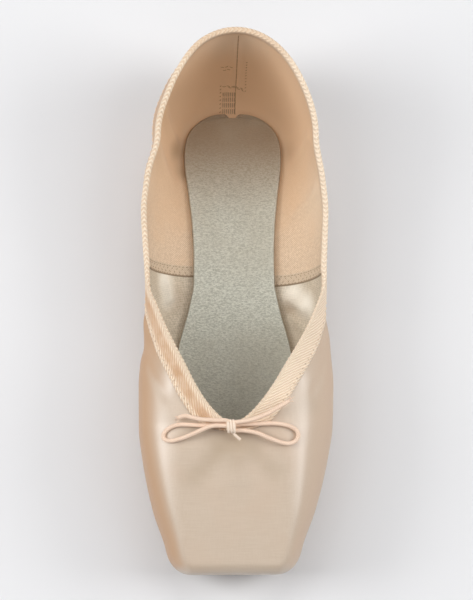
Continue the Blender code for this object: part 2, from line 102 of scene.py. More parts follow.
def make_lamp(name, place, aim, size, power):
    data = bpy.data.lights.new(name, "AREA")
    data.shape = "RECTANGLE"
    data.size, data.size_y = size
    data.energy = power
    lamp = bpy.data.objects.new(name, data)
    lamp.location = place
    lamp.rotation_mode = "QUATERNION"
    lamp.rotation_quaternion = (Vector(aim) - Vector(place)).to_track_quat("-Z", "Y")
    bpy.context.scene.collection.objects.link(lamp)


def make_floor():
    mesh = bmesh.new()
    bmesh.ops.create_grid(mesh, x_segments=1, y_segments=1, size=6.0)
    data = bpy.data.meshes.new("floor")
    mesh.to_mesh(data)
    mesh.free()
    floor = bpy.data.objects.new("floor", data)
    bpy.context.scene.collection.objects.link(floor)
    paint = bpy.data.materials.new("floor")
    paint.use_nodes = True
    shader = paint.node_tree.nodes["Principled BSDF"]
    shader.inputs["Base Color"].default_value = (*FLOOR_COLOUR, 1.0)
    shader.inputs["Roughness"].default_value = 0.9
    shader.inputs["Specular IOR Level"].default_value = 0.1
    data.materials.append(paint)


def make_sky():
    world = bpy.context.scene.world or bpy.data.worlds.new("studio")
    bpy.context.scene.world = world
    world.use_nodes = True
    sky = world.node_tree.nodes["Background"]
    sky.inputs["Color"].default_value = (*SKY_COLOUR, 1.0)
    sky.inputs["Strength"].default_value = SKY_STRENGTH


bpy.context.scene.view_settings.view_transform = "Standard"
make_camera()
make_floor()
make_sky()
for lamp in LAMPS:
    make_lamp(*lamp)

# The drawstring's bow. Two lengths of soft elastic cord come out of the tape's casing, each runs from its frayed
# end through the knot and round its own loop, and both lie on the tape and on the satin in front of it.
CORD = 0.0018
CORD_SIDES = 14
CORD_STEP = 0.0005
KNOT_FROM_THROAT = Vector((-0.0011, -0.0017, 0.0026))
LEFT_LOOP = [
    (-3.1, -0.5, 1.7), (-9.6, -1.2, 1.5), (-13.8, -1.1, 1.2), (-18.0, -0.8, 0.8), (-22.3, -0.6, 0.0),
    (-25.6, -1.3, -1.0), (-28.2, -3.0, -2.2), (-29.2, -5.0, -2.6), (-28.2, -6.7, -2.2), (-25.4, -7.2, -1.2),
    (-21.2, -6.2, 0.0), (-17.0, -4.7, 1.2), (-12.6, -2.9, 2.6), (-8.6, -1.7, 3.7), (-3.1, -1.7, 3.6),
]
RIGHT_LOOP = [
    (0.9, -0.9, 1.7), (4.0, -0.7, 1.6), (10.9, -0.5, 1.3), (17.3, -0.3, 0.8), (22.9, -1.1, 0.0),
    (26.3, -2.9, -0.6), (27.1, -5.5, -0.8), (25.2, -8.0, -0.5), (21.2, -8.5, 0.0), (14.8, -6.4, 0.8),
    (10.0, -4.4, 1.3), (4.5, -3.4, 1.7), (0.9, -3.4, 1.8),
]
LEFT_END = [
    (-3.1, 0.5, 4.0), (-6.4, 0.5, 4.2), (-10.7, 0.8, 4.0), (-13.8, 1.1, 3.6), (-17.0, 1.9, 3.0),
    (-20.2, 2.7, 2.4), (-22.9, 2.1, 1.6),
]
RIGHT_END = [
    (0.9, -0.2, 4.0), (4.4, 0.2, 4.2), (7.6, 0.9, 4.0), (13.2, 3.0, 3.6), (18.8, 6.2, 3.4), (23.2, 8.8, 3.0),
]


def throat_point():
    """Where the tape's two sides meet under the knot, on the outside of the tape."""
    low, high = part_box("bow_knot")
    return (low + high) / 2 - KNOT_FROM_THROAT


def lengths_along(line):
    """How far along a line each of its points lies."""
    return np.concatenate([[0.0], np.cumsum(np.linalg.norm(np.diff(line, axis=0), axis=1))])


def evenly(line, count):
    """So many evenly spaced points on a line."""
    lengths = lengths_along(line)
    even = np.linspace(0, lengths[-1], count)
    return np.stack([np.interp(even, lengths, line[:, k]) for k in range(line.shape[1])], axis=1)


def smooth_path(points, step):
    """Evenly spaced points on a smooth curve through the given ones."""
    points = np.asarray(points, float)
    ends = np.vstack([2 * points[0] - points[1], points, 2 * points[-1] - points[-2]])
    share = np.linspace(0, 1, 12, endpoint=False)[:, None]
    line = []
    for a, b, c, d in zip(ends, ends[1:], ends[2:], ends[3:]):
        bend = (2 * a - 5 * b + 4 * c - d) * share**2 + (3 * b - a - 3 * c + d) * share**3
        line.append(b + 0.5 * ((c - a) * share + bend))
    line = np.vstack(line + [points[-1:]])
    return evenly(line, max(round(lengths_along(line)[-1] / step), 2) + 1)


def lay(mesh, points, uv=None):
    """A sheet of quads through points[i][j]; its outside is where i turned towards j points."""
    rows, columns = points.shape[:2]
    grid = bmesh.ops.create_grid(mesh, x_segments=rows - 1, y_segments=columns - 1, size=1.0)["verts"]
    where = {}
    for k, vertex in enumerate(grid):
        i, j = k % rows, k // rows
        vertex.co = points[i, j]
        where[vertex] = (i, j)
    if uv is not None:
        layer = mesh.loops.layers.uv.verify()
        for face in {face for vertex in grid for face in vertex.link_faces}:
            for loop in face.loops:
                loop[layer].uv = uv[where[loop.vert]]
    return grid


def tube(mesh, path, radius, sides):
    """A round tube along a path, with closed ends and its surface measured in metres for the weave."""
    path = np.asarray(path, float)
    radius = np.broadcast_to(radius, len(path))
    ahead = np.gradient(path, axis=0)
    ahead /= np.linalg.norm(ahead, axis=1)[:, None]
    across = np.cross(ahead[0], (0.0, 0.0, 1.0))
    if np.linalg.norm(across) < 0.1:
        across = np.cross(ahead[0], (0.0, 1.0, 0.0))
    turns = np.linspace(0, 2 * math.pi, sides + 1)
    lengths = lengths_along(path)
    rings, uv = [], []
    for k, centre in enumerate(path):
        across = across - ahead[k] * across.dot(ahead[k])
        across /= np.linalg.norm(across)
        up = np.cross(ahead[k], across)
        rings.append(centre + radius[k] * (np.outer(np.cos(turns), across) + np.outer(np.sin(turns), up)))
        uv.append(np.stack([np.full(sides + 1, lengths[k]), turns / (2 * math.pi) * math.pi * CORD], axis=1))
    verts = lay(mesh, np.array(rings)[:, ::-1], np.array(uv)[:, ::-1])
    bmesh.ops.remove_doubles(mesh, verts=verts, dist=radius.min() * 0.01)
    verts = [vertex for vertex in verts if vertex.is_valid]
    rim = {edge for vertex in verts for edge in vertex.link_edges if edge.is_boundary}
    bmesh.ops.holes_fill(mesh, edges=list(rim), sides=sides + 1)


def piece(name, mesh, material, sharp=40.0):
    """Turns a bmesh into a named piece of the shoe, which stays with the shoe's one body."""
    data = bpy.data.meshes.new(name)
    mesh.to_mesh(data)
    mesh.free()
    data.materials.append(material)
    made = bpy.data.objects.new(name, data)
    bpy.context.scene.collection.objects.link(made)
    data.shade_smooth()
    data.set_sharp_from_angle(angle=math.radians(sharp))
    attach(made, BODY)
    return made


def thicken(made, thickness):
    """Gives a sheet its thickness, on the side away from its outside."""
    wall = made.modifiers.new("thickness", "SOLIDIFY")
    wall.thickness = thickness
    wall.offset = -1


class Bench:
    """A node tree being put together, with short ways to add to it."""

    def __init__(self, tree):
        self.tree = tree

    def add(self, kind, inputs=None, **settings):
        node = self.tree.nodes.new(kind)
        for name, value in settings.items():
            setattr(node, name, value)
        for name, value in (inputs or {}).items():
            socket = node.inputs[name]
            if isinstance(value, bpy.types.NodeSocket):
                self.tree.links.new(value, socket)
            else:
                socket.default_value = (*value, 1.0) if socket.type == "RGBA" else value
        return node

    def effect(self, group, **inputs):
        """Places a shared effect, with its own values."""
        named = {name.replace("_", " ").title(): value for name, value in inputs.items()}
        return self.add("ShaderNodeGroup", named, node_tree=group).outputs[0]

    def stretch(self, vector, scale):
        return self.add("ShaderNodeMapping", {"Vector": vector, "Scale": scale}).outputs["Vector"]

    def parts(self, vector):
        return self.add("ShaderNodeSeparateXYZ", {0: vector}).outputs

    def noise(self, vector, scale, detail=3.0, roughness=0.5):
        inputs = {"Vector": vector, "Scale": scale, "Detail": detail, "Roughness": roughness}
        return self.add("ShaderNodeTexNoise", inputs).outputs["Fac"]

    def math(self, operation, a, b=0.5, c=0.0):
        return self.add("ShaderNodeMath", {0: a, 1: b, 2: c}, operation=operation).outputs[0]

    def spread(self, value, low, high, to_low=0.0, to_high=1.0):
        inputs = {"Value": value, "From Min": low, "From Max": high, "To Min": to_low, "To Max": to_high}
        return self.add("ShaderNodeMapRange", inputs, interpolation_type="SMOOTHSTEP").outputs[0]

    def near(self, value, middle, reach):
        """1 where the value is at the middle, 0 where it is further off than its reach."""
        away = self.math("ABSOLUTE", self.math("SUBTRACT", value, middle), 0.0)
        return self.spread(away, reach * 0.4, reach, 1.0, 0.0)

    def around(self, vector, spot, reach):
        """1 at a spot of the shoe, fading to 0 at its reach. The spot is x, distance from the toe, z."""
        spot = (spot[0], spot[1] - LENGTH / 2, spot[2])
        away = self.add("ShaderNodeVectorMath", {0: vector, 1: spot}, operation="DISTANCE").outputs["Value"]
        return self.spread(away, 0.0, reach, 1.0, 0.0)

    def mix(self, share, a, b):
        node = self.add("ShaderNodeMix", data_type="RGBA")
        for index, value in ((0, share), (6, a), (7, b)):
            if isinstance(value, bpy.types.NodeSocket):
                self.tree.links.new(value, node.inputs[index])
            else:
                node.inputs[index].default_value = value if index == 0 else (*value, 1.0)
        return node.outputs[2]

    def relief(self, height, strength, depth):
        inputs = {"Height": height, "Strength": strength, "Distance": depth}
        return self.add("ShaderNodeBump", inputs).outputs["Normal"]


class Finish(Bench):
    """A material."""

    def __init__(self, name):
        self.material = bpy.data.materials.new(name)
        self.material.use_nodes = True
        super().__init__(self.material.node_tree)
        self.shader = self.tree.nodes["Principled BSDF"]
        place = self.tree.nodes.new("ShaderNodeTexCoord")
        self.object = place.outputs["Object"]
        self.slope = place.outputs["Normal"]
        self.uv = place.outputs["UV"]

    def give(self, **inputs):
        for name, value in inputs.items():
            socket = self.shader.inputs[name.replace("_", " ").title().replace("Ior", "IOR")]
            if isinstance(value, bpy.types.NodeSocket):
                self.tree.links.new(value, socket)
            else:
                socket.default_value = (*value, 1.0) if socket.type == "RGBA" else value
        return self.material


class Effect(Bench):
    """A node group that several finishes share, with named inputs and one named output."""

    def __init__(self, name, inputs, output, kind):
        super().__init__(bpy.data.node_groups.new(name, "ShaderNodeTree"))
        for label, value in inputs.items():
            socket_kind = "Vector" if value is None else "Float" if isinstance(value, float) else "Color"
            socket = self.tree.interface.new_socket(label, in_out="INPUT", socket_type="NodeSocket" + socket_kind)
            if value is not None:
                socket.default_value = value if socket_kind == "Float" else (*value, 1.0)
        self.tree.interface.new_socket(output, in_out="OUTPUT", socket_type="NodeSocket" + kind)
        self.given = self.tree.nodes.new("NodeGroupInput").outputs
        self.result = self.tree.nodes.new("NodeGroupOutput").inputs[0]

    def gives(self, value):
        self.tree.links.new(value, self.result)
        return self.tree


def ribs_effect():
    """Parallel yarns or twill ribs, 0 between them and 1 on them, so many to a metre along and across a surface."""
    effect = Effect("ribs", {"Place": None, "Along": 1000.0, "Across": 0.0, "Waver": 0.3}, "Rib", "Float")
    place = effect.parts(effect.given["Place"])
    phase = effect.math("MULTIPLY_ADD", place[0], effect.given["Along"],
                        effect.math("MULTIPLY", place[1], effect.given["Across"]))
    waver = effect.math("MULTIPLY", effect.noise(effect.given["Place"], 500.0), effect.given["Waver"])
    turns = effect.math("MULTIPLY", effect.math("ADD", phase, waver), 2 * math.pi)
    return effect.gives(effect.math("MULTIPLY_ADD", effect.math("SINE", turns, 0.0), 0.5, 0.5))


def patches_effect():
    """Large soft patches where a surface has taken another colour."""
    inputs = {"Place": None, "Size": 60.0, "Share": 0.3, "Colour": (1.0, 1.0, 1.0), "Patch": (0.5, 0.5, 0.5)}
    effect = Effect("patches", inputs, "Colour", "Color")
    given = effect.given
    cloud = effect.noise(given["Place"], given["Size"])
    share = effect.math("MULTIPLY", effect.spread(cloud, 0.42, 0.68), given["Share"])
    return effect.gives(effect.mix(share, given["Colour"], given["Patch"]))


def braid_finish(name, dark, light):
    """Soft braided elastic: two sets of yarns crossing round the cord."""
    cord = Finish(name)
    left = cord.effect(ribs, place=cord.uv, along=900.0, across=900.0, waver=0.2)
    right = cord.effect(ribs, place=cord.uv, along=900.0, across=-900.0, waver=0.2)
    yarns = cord.math("MAXIMUM", left, right)
    tone = cord.math("MULTIPLY_ADD", cord.noise(cord.object, 1800.0), 0.5, cord.math("MULTIPLY", yarns, 0.5))
    colour = cord.mix(cord.spread(tone, 0.3, 0.8), dark, light)
    colour = cord.effect(patches, place=cord.object, size=160.0, share=0.35, colour=colour, patch=light)
    bump = cord.relief(tone, 0.5, 0.00010)
    return cord.give(base_color=colour, roughness=0.72, normal=bump, sheen_weight=0.3, sheen_roughness=0.5)


def make_bow_cord(name, in_knot, loop, end, nodes):
    """One length of the drawstring, from the knot round its loop, back through the knot to its frayed end."""
    route = np.array([in_knot] + loop[::-1] + end) * MM + np.array(THROAT_POINT)
    path = smooth_path(route, CORD_STEP)
    mesh = bmesh.new()
    tube(mesh, path, CORD / 2, CORD_SIDES)
    cord = piece(name, mesh, braid)
    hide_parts(*nodes)
    return path


def make_knot():
    """The knot's wraps, wound twice and a half round the strands, with the strands' core inside them."""
    middle = THROAT_POINT + KNOT_FROM_THROAT
    mesh = bmesh.new()
    turns = np.linspace(0, 2 * math.pi * KNOT_TURNS, 90)
    across = (turns / turns[-1] - 0.5) * (KNOT_SIZE[0] - WRAP)
    wrap = [across, (KNOT_SIZE[1] - WRAP) / 2 * np.cos(turns), (KNOT_SIZE[2] - WRAP) / 2 * np.sin(turns)]
    tube(mesh, np.stack(wrap, axis=1) + np.array(middle), WRAP / 2, CORD_SIDES)
    core = np.linspace((-KNOT_SIZE[0] / 2 + 0.0002, 0, 0), (KNOT_SIZE[0] / 2 - 0.0002, 0, 0), 8) + np.array(middle)
    tube(mesh, core, (min(KNOT_SIZE[1:]) - WRAP) / 2, CORD_SIDES)
    tail = [middle + Vector(place) * MM for place in KNOT_TAIL]
    tube(mesh, smooth_path(tail, CORD_STEP), WRAP / 2, CORD_SIDES)
    knot = piece("bow_knot_wraps", mesh, braid_finish("knot_yarn", (0.78, 0.60, 0.46), (0.93, 0.79, 0.65)))
    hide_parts("bow_knot")


def make_frays():
    """Loose yarns at the two cut ends of the cord."""
    draws = np.random.default_rng(7)
    mesh = bmesh.new()
    for path in (left_end_path, right_end_path):
        tip, heading = path[-1], path[-1] - path[-4]
        heading /= np.linalg.norm(heading)
        for _ in range(FRAY_YARNS):
            side = draws.normal(0, 1, 3)
            side -= heading * side.dot(heading)
            side /= np.linalg.norm(side)
            length = draws.uniform(0.0012, 0.0032)
            root = tip - heading * 0.0006 + side * draws.uniform(0.0001, 0.0007)
            spread = draws.uniform(0.2, 0.9)
            yarn = [root, root + heading * length / 2 + side * length * spread / 5,
                    root + heading * length + side * length * spread]
            tube(mesh, smooth_path(yarn, 0.0003), YARN / 2, 5)
    frays = piece("bow_frays", mesh, braid)


THROAT_POINT = throat_point()
KNOT_SIZE = (0.0042, 0.0060, 0.0048)
KNOT_TURNS = 2.5
WRAP = 0.0012
KNOT_TAIL = [(0.4, -1.6, -0.6), (1.4, -3.2, -0.9), (3.9, -5.4, -1.6)]
YARN = 0.00022
FRAY_YARNS = 9
ribs = ribs_effect()
patches = patches_effect()
braid = braid_finish("braid", (0.72, 0.49, 0.35), (0.92, 0.71, 0.55))
left_end_path = make_bow_cord(
    "bow_cord_left_end", (-1.0, -3.0, 2.0), RIGHT_LOOP, LEFT_END, ("bow_end_left", "bow_loop_right"))
right_end_path = make_bow_cord(
    "bow_cord_right_end", (-1.2, -1.8, 3.2), LEFT_LOOP, RIGHT_END, ("bow_end_right", "bow_loop_left"))
make_knot()
make_frays()

# The satin upper. It was lasted wet over a hard box: flat on top, round at the shoulders, closed in front by the
# platform, soft behind the wings. Its cross-sections run from the toe to the heel's axis and then fan round the heel.
LENGTH = 0.2320
BALL_WIDTH = 0.0836
THROAT_HEIGHT = 0.0469
SIDE_HEIGHT = 0.0364
HEEL_HEIGHT = 0.0561
TOE_SPRING = 0.0036
ARCH_RISE = 0.0045
SOLE_FRONT = 0.0250
OPENING_FRONT = 0.0340
THROAT = 0.0611
HEEL_AXIS = 0.1860
RIM_RADIUS = 0.0040
PLATFORM_LEAN = math.tan(math.radians(4.0))
LEAN_REACH = 0.0240
BOX_WALL = 0.0024
QUARTER_WALL = 0.0012
OUTSOLE_THICKNESS = 0.0026
TAPE_FACE = 0.0010
GAP = 0.0003
SEAT_BACK = 0.0202
MARGIN = 0.0090
OPENING_SLOPE = 1.5
HEEL_SQUARENESS = 3.6
SEAT_SQUARENESS = 2.8
DRIFT = -0.0020
DRIFT_REACH = 0.0550
SWING = -0.0015
SWING_REACH = 0.0900
LEFT_EASE = 0.0200
SATIN = 0.0005
SATIN_COLUMNS = 84
Section = namedtuple("Section", "along width tread sole widest crown flat fullness box")
SECTIONS = [Section(*row) for row in (
    (0.000, 0.552, 0.335, 0.88, 0.50, 0.765, 0.41, 2.3, 1.0),
    (0.017, 0.620, 0.365, 0.88, 0.50, 0.790, 0.43, 2.3, 1.0),
    (0.031, 0.664, 0.385, 0.88, 0.50, 0.805, 0.45, 2.3, 1.0),
    (0.061, 0.712, 0.430, 0.88, 0.51, 0.838, 0.48, 2.3, 1.0),
    (0.119, 0.825, 0.515, 0.88, 0.52, 0.893, 0.51, 2.3, 1.0),
    (0.177, 0.906, 0.588, 0.89, 0.54, 0.942, 0.50, 2.3, 1.0),
    (0.238, 0.969, 0.645, 0.90, 0.56, 0.986, 0.45, 2.3, 1.0),
    (0.268, 0.990, 0.660, 0.905, 0.57, 1.000, 0.42, 2.3, 0.9),
    (0.354, 1.000, 0.660, 0.91, 0.60, 0.990, 0.31, 2.2, 0.6),
    (0.389, 0.986, 0.635, 0.90, 0.63, 0.976, 0.24, 2.1, 0.3),
    (0.441, 0.942, 0.582, 0.86, 0.70, 0.975, 0.16, 2.0, 0.0),
    (0.497, 0.919, 0.494, 0.78, 0.865, 0.990, 0.08, 1.9, 0.0),
    (0.525, 0.915, 0.458, 0.74, 0.955, 1.000, 0.03, 1.85, 0.0),
    (0.553, 0.914, 0.430, 0.71, 1.00, 1.000, 0.00, 1.8, 0.0),
    (0.609, 0.926, 0.427, 0.70, 1.00, 1.000, 0.00, 1.8, 0.0),
    (0.666, 0.938, 0.440, 0.74, 1.00, 1.000, 0.00, 1.8, 0.0),
    (0.726, 0.905, 0.473, 0.83, 1.00, 1.000, 0.00, 1.9, 0.0),
    (0.804, 0.835, 0.520, 0.895, 1.00, 1.000, 0.00, 2.0, 0.0),
    (1.000, 0.835, 0.520, 0.895, 1.00, 1.000, 0.00, 2.0, 0.0),
)]
COLLAR = [(0.0, 0.0), (0.6, 0.0), (0.666, 0.09), (0.726, 0.27), (0.804, 0.53), (0.865, 0.73), (0.925, 0.87), (1.0, 1.0)]
OPENING = [
    (0.000, 0.000), (0.007, 0.069), (0.019, 0.129), (0.051, 0.229), (0.122, 0.384), (0.215, 0.535), (0.259, 0.606),
    (0.331, 0.714), (0.408, 0.811), (0.484, 0.893), (0.540, 0.925), (0.700, 1.200), (1.000, 1.200),
]
LEFT_QUARTER = [
    (0.496, 0.000, 0.000), (0.582, -0.021, -0.014), (0.647, -0.028, 0.010), (0.711, -0.036, 0.032),
    (0.746, -0.042, 0.044), (0.793, -0.020, 0.056), (0.836, -0.050, 0.070), (0.862, -0.066, 0.072),
    (0.897, -0.066, 0.058), (0.940, -0.034, 0.030), (0.974, 0.000, 0.000),
]
BED = [
    (0.000, 1.00, 0.00), (0.052, 0.55, 0.00), (0.108, 0.22, 0.00), (0.194, 0.00, 0.00), (0.324, 0.00, 0.00),
    (0.411, 0.00, 0.18), (0.510, 0.00, 0.72), (0.605, 0.00, 1.00), (0.700, 0.00, 0.62), (0.761, 0.00, 0.16),
    (0.795, 0.00, 0.00), (1.000, 0.00, 0.00),
]


def curve(places, values):
    """A smooth curve through a table's rows, which never overshoots them."""
    x, y = np.asarray(places, float), np.asarray(values, float)
    step = np.diff(x)
    slope = np.diff(y) / step
    together = slope[:-1] * slope[1:] > 0
    total = np.where(together, slope[:-1] + slope[1:], 1.0)
    bend = np.concatenate([slope[:1], np.where(together, 2 * slope[:-1] * slope[1:] / total, 0.0), slope[-1:]])

    def at(place):
        place = np.clip(place, x[0], x[-1])
        i = np.clip(np.searchsorted(x, place) - 1, 0, len(step) - 1)
        u = (place - x[i]) / step[i]
        start = (1 + 2 * u) * (1 - u) ** 2 * y[i] + u * (1 - u) ** 2 * step[i] * bend[i]
        return start + u * u * (3 - 2 * u) * y[i + 1] - u * u * (1 - u) * step[i] * bend[i + 1]

    return at


LAST = {name: curve([row.along * LENGTH for row in SECTIONS], [getattr(row, name) for row in SECTIONS])
        for name in Section._fields[1:]}
CLIMB = curve([row[0] * LENGTH for row in COLLAR], [row[1] for row in COLLAR])
OPEN = curve([THROAT + row[0] * (HEEL_AXIS - THROAT) for row in OPENING], [row[1] for row in OPENING])
BULGE = curve([row[0] * LENGTH for row in LEFT_QUARTER], [row[1] for row in LEFT_QUARTER])
COLLAR_SHIFT = curve([row[0] * LENGTH for row in LEFT_QUARTER], [row[2] for row in LEFT_QUARTER])
SPRING = curve([row[0] * LENGTH for row in BED], [row[1] for row in BED])
ARCH = curve([row[0] * LENGTH for row in BED], [row[2] for row in BED])


def half(name, along):
    return LAST[name](along) * BALL_WIDTH / 2


def ground(along):
    """Height of the outsole's underside."""
    return TOE_SPRING * SPRING(along) + ARCH_RISE * ARCH(along)


def underside(along):
    return ground(along) + OUTSOLE_THICKNESS + GAP


def wall(along):
    return QUARTER_WALL + (BOX_WALL - QUARTER_WALL) * LAST["box"](along)


def ease(value):
    value = np.clip(value, 0.0, 1.0)
    return value * value * (3 - 2 * value)


def tread(along, turn):
    """Half width of the flat underside, which ends behind the heel's axis in a squared round."""
    across, behind = math.cos(turn) / half("tread", along), math.sin(turn) / SEAT_BACK
    return (across**SEAT_SQUARENESS + behind**SEAT_SQUARENESS) ** (-1 / SEAT_SQUARENESS)


def section(along, turn, inset, bed, side):
    """One side of a cross-section, as (outward, up) points from under the foot to the topline."""
    foot = tread(along, turn)
    inner = min(max((along - OPENING_FRONT) * OPENING_SLOPE, 0.0), foot - MARGIN)
    width = half("width", along)
    width += (LENGTH - TAPE_FACE - HEEL_AXIS - width) * math.sin(turn) ** HEEL_SQUARENESS
    climb = CLIMB(along + width * math.sin(turn))
    widest = SIDE_HEIGHT * LAST["widest"](along) + (HEEL_HEIGHT - SIDE_HEIGHT) * climb
    width -= inset
    base = underside(along) + inset
    crown = THROAT_HEIGHT * LAST["crown"](along) - inset
    flat = half("flat", along)
    edge = OPEN(along) * BALL_WIDTH / 2 if along > THROAT else 0.0
    power = 2 / LAST["fullness"](along)
    angle = np.linspace(0, math.pi / 2, 60)
    low = np.stack([foot + (width - foot) * np.sin(angle) ** power,
                    widest - (widest - base) * np.maximum(np.cos(angle), 0) ** power], axis=1)
    arc = low
    if edge < width:
        cut = max(edge - flat, 0.0) / (width - flat)
        angle = np.linspace(0, math.acos(cut ** (1 / power)), 60)[1:]
        high = np.stack([flat + (width - flat) * np.cos(angle) ** power,
                         widest + (crown - widest) * np.sin(angle) ** power], axis=1)
        arc = np.vstack([low, high])
        if edge < flat:
            arc = np.vstack([arc, [(edge, crown)]])
    under = np.stack([np.linspace(inner, foot, bed), np.full(bed, base)], axis=1)
    return np.vstack([under[:-1], evenly(arc, side)])


def in_shoe(along, turn, line, side):
    """A section's points in the shoe, on its right (side 1) or left (side -1)."""
    outward, up = line[:, 0], line[:, 1]
    y = along + outward * math.sin(turn)
    near = np.cos(math.pi / 2 * np.minimum(np.abs(y - THROAT) / DRIFT_REACH, 1.0)) ** 2
    x = side * outward * math.cos(turn)
    x += DRIFT * near * ease((up / THROAT_HEIGHT - 0.5) / 0.4) + SWING * ease(1 - y / SWING_REACH)
    high = up / HEEL_HEIGHT
    quarter = BULGE(y) * ease((high - 0.15) / 0.45) + (COLLAR_SHIFT(y) - BULGE(y)) * ease((high - 0.6) / 0.5)
    x += quarter * BALL_WIDTH / 2 * ease(-side * outward * math.cos(turn) / LEFT_EASE)
    lean = PLATFORM_LEAN * np.maximum(1 - y / LEAN_REACH, 0.0)
    below = np.maximum(THROAT_HEIGHT * LAST["crown"](0.0) - RIM_RADIUS - up, 0.0)
    return np.stack([x, y - LENGTH / 2 + lean * below, up], axis=1)


def shell(stations, inset, bed, side_columns, side):
    """Rows of points of one side of the upper, at a depth inside its skin."""
    rows = []
    for along, turn in stations:
        short = max(RIM_RADIUS - along, 0.0)
        rim = RIM_RADIUS - math.sqrt(RIM_RADIUS**2 - short**2)
        rows.append(in_shoe(along, turn, section(along, turn, inset + rim, bed, side_columns), side))
    return np.array(rows)


def join(mesh):
    """Closes a sheet's seams and poles."""
    bmesh.ops.remove_doubles(mesh, verts=mesh.verts, dist=4e-6)
    bmesh.ops.dissolve_degenerate(mesh, edges=mesh.edges, dist=1e-6)


def close_toe(points, shares):
    """Adds rows that close a shell at the toe, each a share of the way out from the middle of its first row."""
    ring = points[0]
    middle = np.array([0.0, ring[:, 1].mean(), (ring[0, 2] + ring[-1, 2]) / 2])
    return np.vstack([[middle + (ring - middle) * share for share in shares], points])


def satin_stations():
    rim = RIM_RADIUS * (1 - np.cos(np.linspace(0, math.pi / 2, 9)))
    box = np.linspace(RIM_RADIUS, THROAT, 50)[1:]
    throat = THROAT + np.array([0.0002, 0.0005, 0.0009, 0.0014, 0.002, 0.0028, 0.0038, 0.005, 0.0064, 0.008])
    quarters = np.linspace(throat[-1], HEEL_AXIS, 84)[1:]
    heel = np.linspace(0, math.pi / 2, 36)[1:]
    sides = [(along, 0.0) for along in np.concatenate([rim, box, throat, quarters])]
    return sides + [(HEEL_AXIS, turn) for turn in heel]


def line_mark(points, line):
    """Distance of points to a line, and how far along it each is nearest."""
    best = np.full(len(points), 1e9)
    share = np.zeros(len(points))
    count = len(line) - 1
    for k, (a, b) in enumerate(zip(line, line[1:])):
        step = b - a
        t = np.clip((points - a) @ step / step.dot(step), 0, 1)
        away = np.linalg.norm(points - a - t[:, None] * step, axis=1)
        nearer = away < best
        best = np.where(nearer, away, best)
        share = np.where(nearer, (k + t) / count, share)
    return best, share


def press(mesh, marks):
    """Soft troughs and ridges. A mark is (millimetres out, millimetres wide, places as x, t from the toe, z)."""
    mesh.normal_update()
    points = np.array([vertex.co for vertex in mesh.verts])
    normals = np.array([vertex.normal for vertex in mesh.verts])
    tree = BVHTree.FromBMesh(mesh)
    moved = np.zeros(len(points))
    for out, width, places in marks:
        line = [tree.find_nearest(Vector((x, t - LENGTH / MM / 2, z)) * MM)[0] for x, t, z in places]
        line = np.array(smooth_path(line, 0.002) if len(line) > 2 else line)
        away, share = line_mark(points, line)
        fade = ease(np.minimum(share, 1 - share) * 4 + 0.15)
        moved += out * MM * np.exp(-(away / (width * MM)) ** 2) * fade
    for vertex, place in zip(mesh.verts, points + normals * moved[:, None]):
        vertex.co = place


SATIN_MARKS = [
    (-0.50, 5.5, [(-6, 52, 47), (-11, 47, 47), (-14, 41, 46), (-16, 36, 45)]),
    (-0.45, 5.5, [(5, 53, 47), (11, 47, 47), (15, 41, 46), (18, 36, 45)]),
    (0.45, 5.0, [(-1, 50, 47), (0, 42, 46), (0, 34, 45)]),
    (-0.55, 3.4, [(-34, 96, 38), (-39, 97, 30), (-41, 97, 22), (-38, 98, 12)]),
    (0.9, 5.5, [(-37, 108, 32), (-39, 109, 24), (-36, 110, 14)]),
    (-0.55, 3.6, [(34, 112, 38), (38, 113, 30), (38, 114, 20), (35, 115, 12)]),
    (0.8, 5.5, [(38, 101, 34), (41, 101, 26), (40, 102, 16)]),
    (0.6, 3.0, [(-24, 76, 44), (-30, 86, 42), (-35, 98, 38)]),
    (-0.40, 2.4, [(-28, 70, 43), (-34, 81, 39), (-38, 90, 33)]),
    (0.4, 3.0, [(24, 78, 44), (31, 89, 41), (36, 101, 37)]),
    (-0.35, 2.4, [(30, 72, 42), (36, 84, 37), (39, 96, 31)]),
]
# Painted shade on the satin under the bow, along the creases from the knot and on the wings: x, t from the toe, z,
# reach in millimetres, and share.
SATIN_PAINTED_SHADE = [
    (-2, 54, 47, 18, 0.8), (-8, 50, 47, 7, 0.6), (-12, 46, 47, 7, 0.6), (-16, 41, 46, 8, 0.55), (-20, 38, 46, 8, 0.4),
    (6, 49, 47, 7, 0.6), (11, 44, 47, 7, 0.55), (15, 40, 46, 8, 0.45), (-30, 66, 42, 8, 0.3), (31, 70, 42, 8, 0.3),
]
PLEATS = 13
PLEAT_DEPTH = 0.0007
PLEAT_REACH = 0.019


def pleat(mesh):
    """The satin's pleats under the toe, which fan out from under the front of the sole."""
    for vertex in mesh.verts:
        x, along = vertex.co.x, vertex.co.y + LENGTH / 2
        if vertex.normal.z > -0.4 or along > SOLE_FRONT + PLEAT_REACH:
            continue
        ahead = SOLE_FRONT + 0.016 - along
        out = math.hypot(x, ahead)
        angle = math.atan2(x, max(ahead, 1e-6))
        fade = ease((out - 0.010) / 0.004) * ease((along - 0.003) / 0.006) * ease((1.45 - abs(angle)) / 0.3)
        fold = abs(math.sin(PLEATS * angle / 2))
        vertex.co.z += PLEAT_DEPTH * fade * (fold**0.6 - 1)


